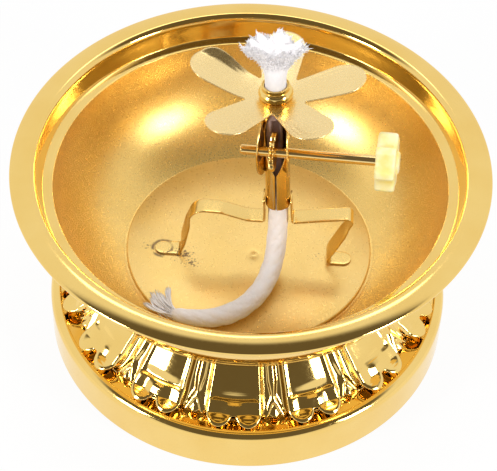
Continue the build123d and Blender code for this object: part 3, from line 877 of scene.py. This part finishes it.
def across_path(path, guide):
    """Two unit vectors across a path: the guide without its part along the path, and one square to both."""
    way = unit(np.gradient(path, axis=-2))
    first = unit(guide - (way @ guide)[..., None] * way)
    return first, np.cross(way, first)


wick_radius = 2.3
twist_length = 26.0
cord_angle = full_turn(72)


def strands(run):
    """Share of the radius at each run along the cord and each angle round it, for six twisted strands."""
    twist = cord_angle - 2 * pi * run[:, None] / twist_length
    return 0.94 + 0.06 * np.abs(np.cos(3 * twist)) ** 0.6


tail_side, tail_up = across_path(tail_path, np.array((0.55, -0.55, 0.63)))
tail_run = run_along(tail_path)
tail_length = tail_run[-1]
run_column = tail_run[:, None]
lumps = 0.015 * np.sin(2 * cord_angle + 0.9 * run_column) + 0.015 * np.sin(3 * cord_angle - 1.7 * run_column)
slimmer = 1.0 - 0.30 * ramp(run_column, tail_length - 13.0, tail_length)
slimmer *= np.sqrt(1.0 - 0.9 * np.clip((run_column - tail_length + 2.5) / 2.5, 0.0, 1.0) ** 2)
tail_radius = wick_radius * (strands(tail_run) + lumps) * slimmer
round_side = np.cos(cord_angle)[:, None] * tail_side[:, None] + np.sin(cord_angle)[:, None] * tail_up[:, None]
tail_grid = closed_ends(tail_path[:, None] + tail_radius[..., None] * round_side)
tail = make_piece("wick_cord", "wick_tail", [cotton], [tail_grid], body=None)
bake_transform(tail)
print("tail length", round(tail_length, 2), "mm")

# %% [markdown]
# Frayed cotton is many thin threads. One helper makes a bundle at once: each thread is a path of a few points
# with a four-sided section, thin enough that hundreds cost little. The tail's end opens into bunches that lie
# on the plate.

# %% Frayed end of the tail
chance = np.random.default_rng(7)


def threads(paths, thickness):
    """Four-sided thin tubes along many paths at once, closed to a point at both ends."""
    first, second = across_path(paths, np.array((0.31, 0.83, 0.47)))
    angle = full_turn(4)[:, None]
    taper = np.ones(paths.shape[1])
    taper[[0, -1]] = 0.0
    reach = thickness[:, None] * taper
    round_way = np.cos(angle) * first[..., None, :] + np.sin(angle) * second[..., None, :]
    return paths[:, :, None] + reach[..., None, None] * round_way


fray_tips = np.array([
    (-22.0, -15.6, 23.1), (-20.8, -14.9, 23.0), (-18.2, -13.9, 23.1), (-23.2, -19.3, 23.6),
    (-19.6, -15.6, 23.0), (-21.6, -17.4, 23.2),
])
per_bunch = 14
lowest_thread = 22.85
fray_from = np.array((-15.6, -23.6, 24.8)) + chance.normal(0, 0.65, (len(fray_tips) * per_bunch, 3))
fray_to = np.repeat(fray_tips, per_bunch, 0) + chance.normal(0, (0.32, 0.32, 0.10), (len(fray_from), 3))
fray_sag = np.array((-1.1, -1.0, -0.2))
fray_bend = (fray_from + fray_to) / 2 + fray_sag + chance.normal(0, 0.15, fray_from.shape)
along_share = np.linspace(0.0, 1.0, 9)[:, None]
fray_paths = (
    fray_from[:, None] * (1 - along_share) ** 2
    + 2 * fray_bend[:, None] * along_share * (1 - along_share)
    + fray_to[:, None] * along_share**2
)
fray_paths[..., 2] = np.maximum(fray_paths[..., 2], lowest_thread)
fray_grid = threads(fray_paths, chance.uniform(0.10, 0.20, len(fray_paths)))
fray = make_piece("wick_fray_threads", "wick_fray", [cotton], [fray_grid])

# %% [markdown]
# Inside the tube the same cord shows only in the window. Behind the wheel it is squeezed to one side, pressed
# flat along a groove and coloured brown. A boolean cut would do for the groove, but moving the points that
# lie in it back to its face keeps the grid whole.

# %% Wick in the tube
groove_half, groove_face = 0.95, -0.3
groove_low, groove_high = 3.0, 25.3
squeeze, squeeze_shift = 0.22, 0.45
core_run = np.linspace(0.3, tube_length, 180)
core_height = core_run[:, None]
core_radius = wick_radius * strands(core_run)
core_across, core_back = core_radius * np.sin(cord_angle), -core_radius * np.cos(cord_angle)
squeezed = ramp(core_height, 9.0, 13.0) * (1 - ramp(core_height, 25.0, 29.0))
core_across = core_across * (1 - squeeze * squeezed) - squeeze_shift * squeezed
in_groove = (np.abs(core_across) < groove_half) & (core_height > groove_low) & (core_height < groove_high)
core_back = np.where(in_groove, np.maximum(core_back, groove_face), core_back)
core_grid = closed_ends(on_tube(core_across, core_back, core_height))
core_row = np.concatenate([core_run[:1], core_run, core_run[-1:]])
# The brown share: it comes in from 6 to 9 mm up the tube and goes again from 29 to 31.5 mm.
core_browning = ramp(core_row, 6.0, 9.0) * (1 - ramp(core_row, 29.0, 31.5))
core_values = np.repeat(0.92 * core_browning, len(cord_angle))
make_piece("wick_in_tube", "wick_core", [cotton], [core_grid], "wick", values=core_values)

# %% [markdown]
# Above the collar the wick is teased open into a soft funnel. Its skin is a turned profile whose radius and
# height swell in waves, so the rim is ragged: one lobe droops to the left, one leans to the right. It is flat
# from front to back, as if pinched. Its neck is slimmer than the tube's bore, so it can be wound down. Fine
# curled hairs take the hard edge off the shape, as loose cotton does.

# %% Tuft
neck_height, open_height = 2.4, 9.0
tuft_flatness, tuft_lean = 0.55, 0.165
tuft_angle = full_turn(144)
funnel = [
    (0.0, -1.2), (2.2, -1.2), (2.3, 0.0), (2.36, neck_height), (2.7, 4.0), (3.2, 5.6), (4.0, 7.0), (5.1, 8.2),
    (5.7, open_height), (5.6, 9.7), (5.0, 9.9), (4.0, 9.6), (2.5, 9.4), (0.0, 9.5),
]
funnel_line = thinned(eased(funnel, 0.1, 0.3), 90)
funnel_radius, funnel_height = funnel_line.T[..., None]
opened = ramp(funnel_height, neck_height, open_height)
along_funnel = np.linspace(0.0, 1.0, len(funnel_line))[:, None]


def waves(counts, speed):
    """A sum of waves round the tuft, one for each count, with drifts and phases by chance, from -1 to 1."""
    total = 0.0
    for count in counts:
        drift = chance.uniform(-speed, speed) * along_funnel
        total = total + np.sin(count * tuft_angle + chance.uniform(0, 2 * pi) + drift) / len(counts)
    return total


def bumps(*places):
    """A sum of bell-shaped bumps round the tuft: a height, an angle from its back by the left and a width."""
    total = 0.0
    for height, angle, width in places:
        away = wrapped(tuft_angle - radians(angle), 2 * pi)
        total = total + height * np.exp(-((away / radians(width)) ** 2))
    return total


wide_waves = waves((2, 3, 5), 6.0)
small_waves = waves((7, 9, 11, 14), 25.0)
fine_waves = waves((17, 21, 26, 31), 60.0)
swell = 0.10 * wide_waves + 0.14 * small_waves + 0.10 * fine_waves
reach_out = bumps((0.9, 98, 20), (1.0, 262, 24), (0.3, 60, 15))
tuft_radius = funnel_radius * (1 + opened * swell) + opened**2 * reach_out * funnel_radius / 6.0
crown_lift = bumps((1.3, 345, 22), (-1.2, 98, 18), (-1.8, 318, 10), (-0.8, 180, 45), (0.5, 40, 12))
ragged_lift = opened * (crown_lift + 0.9 * small_waves + 0.5 * fine_waves)
tuft_height = funnel_height + ragged_lift * np.minimum(funnel_radius / 5.0, 1.0)
flatter = 1 - tuft_flatness * ramp(funnel_height, 1.0, 8.0)
tuft_across = -tuft_radius * np.sin(tuft_angle)
tuft_back = tuft_radius * np.cos(tuft_angle) * flatter
tuft_back = tuft_back + tuft_lean * np.maximum(tuft_height - neck_height, 0.0)
tuft_skin = on_tube(tuft_across, tuft_back, tube_length + tuft_height)

hairs = 2200
lowest_hair_row, rows_inside = 36, 8
hairs_from = np.array((0.0, 0.0, tube_length + 6.5))
rim_row = np.argmax(funnel_line[:, 0])
hair_row = rim_row + chance.normal(-4, 9, hairs)
hair_row = np.clip(hair_row, lowest_hair_row, len(funnel_line) - rows_inside).astype(int)
hair_column = chance.integers(0, len(tuft_angle), hairs)
hair_root = np.stack([tuft_across, tuft_back, tube_length + tuft_height], -1)[hair_row, hair_column]
hair_way = unit(hair_root - hairs_from) + chance.normal(0, 0.55, (hairs, 3))
hair_length = chance.uniform(0.2, 0.6, hairs)
hair_share = np.linspace(-0.25, 1.0, 5)[:, None]
hair_curl = chance.normal(0, 0.35, (hairs, 1, 3)) * hair_share**2
hair_paths = hair_root[:, None] + hair_length[:, None, None] * (hair_way[:, None] * hair_share + hair_curl)
hair_paths = on_tube(*np.moveaxis(hair_paths, -1, 0))
tuft_hairs = threads(hair_paths, chance.uniform(0.05, 0.10, hairs))
make_piece("teased_tuft", "wick_tuft", [cotton], [tuft_skin, tuft_hairs], "wick")

# %% [markdown]
# The studio starts with a white floor. It could be lit until it is white, but that would burn out the lamp.
# Here it gives out plain white to the camera and to reflections only, mixed with a little real paint, which
# keeps a faint shadow.

# %% Floor
floor_half = 3.0
white_share = 0.93
floor_mesh = bpy.data.meshes.new("floor")
corners = np.array([(-1, -1, 0), (1, -1, 0), (1, 1, 0), (-1, 1, 0)]) * floor_half
floor_mesh.from_pydata(corners, [], [(0, 1, 2, 3)])
floor = bpy.data.objects.new("floor", floor_mesh)
bpy.context.collection.objects.link(floor)
floor_paint, paint = start_material("floor_paint")
paint.fill({"Base Color": (0.85, 0.85, 0.85), "Roughness": 0.9, "Specular IOR Level": 0.0})
rays = paint.nodes.new("ShaderNodeLightPath").outputs
seen = paint.math("MAXIMUM", rays["Is Camera Ray"], rays["Is Glossy Ray"])
seen = paint.math("MAXIMUM", seen, rays["Is Transmission Ray"])
plain_white = paint.node("Emission", {})
seen = paint.math("MULTIPLY", seen, white_share)
floor_mix = paint.node("MixShader", {0: seen, 1: paint.shader.outputs["BSDF"], 2: plain_white})
paint.link(floor_mix, paint.nodes["Material Output"].inputs["Surface"])
floor_mesh.materials.append(floor_paint)
print("floor", 2 * floor_half, "m wide")

# %% [markdown]
# The room is pale, but dark high up on the camera's side. Polished gold shows that part as its black bands,
# which is what makes it look like metal. Two soft lamps in front, at the left and right, make the two bright
# spots in the bowl. A weak, narrow one behind lights the ledge at the back. One above is hidden from
# reflections, so it only brightens cotton and plastic.

# %% Room and lamps
dark_elevation = radians(61.0)
dark_reach = (cos(radians(54.0)), cos(radians(44.0)))
lamps_aim = np.array((0.0, 0.0, 0.04))
room = bpy.data.worlds.new("room")
bpy.context.scene.world = room
room.use_nodes = True
paint = Paint(room.node_tree)
direction = paint.node("TexCoord", {}, "Generated")
dark_middle = (0.0, -cos(dark_elevation), sin(dark_elevation))
dark = paint.node("VectorMath", {0: direction, 1: dark_middle}, "Value", operation="DOT_PRODUCT")
dark = paint.fit(dark, dark_reach, (0.0, 1.0), True)
pale_room = paint.mix(dark, (0.93, 0.93, 0.93), (0.14, 0.12, 0.09))
rays = paint.nodes.new("ShaderNodeLightPath").outputs
fill_light = paint.mix(rays["Is Diffuse Ray"], pale_room, (0.50, 0.50, 0.50))
seen_room = paint.mix(rays["Is Camera Ray"], fill_light, (1.0, 1.0, 1.0))
paint.fill({"Color": seen_room, "Strength": 1.0}, paint.nodes["Background"])


def soft_lamp(name, azimuth, elevation, reach, size, power, mirrored=True):
    """An area lamp aimed at the bowl. Where mirrored is off, reflections don't show it."""
    light = bpy.data.lights.new(name, "AREA")
    light.shape = "RECTANGLE"
    light.size, light.size_y = size
    light.energy = power
    holder = bpy.data.objects.new(name, light)
    bpy.context.collection.objects.link(holder)
    aim(holder, lamps_aim, reach, azimuth, elevation)
    holder.visible_glossy = mirrored
    print(name, power, "W")


soft_lamp("lamp_left", -57.0, 27.0, 0.55, (0.13, 0.16), 1.4)
soft_lamp("lamp_right", 57.0, 27.0, 0.55, (0.13, 0.16), 1.4)
soft_lamp("lamp_behind", 180.0, 58.5, 0.60, (0.28, 0.06), 0.12)
soft_lamp("lamp_above", 180.0, 68.0, 0.60, (0.40, 0.40), 1.3, mirrored=False)
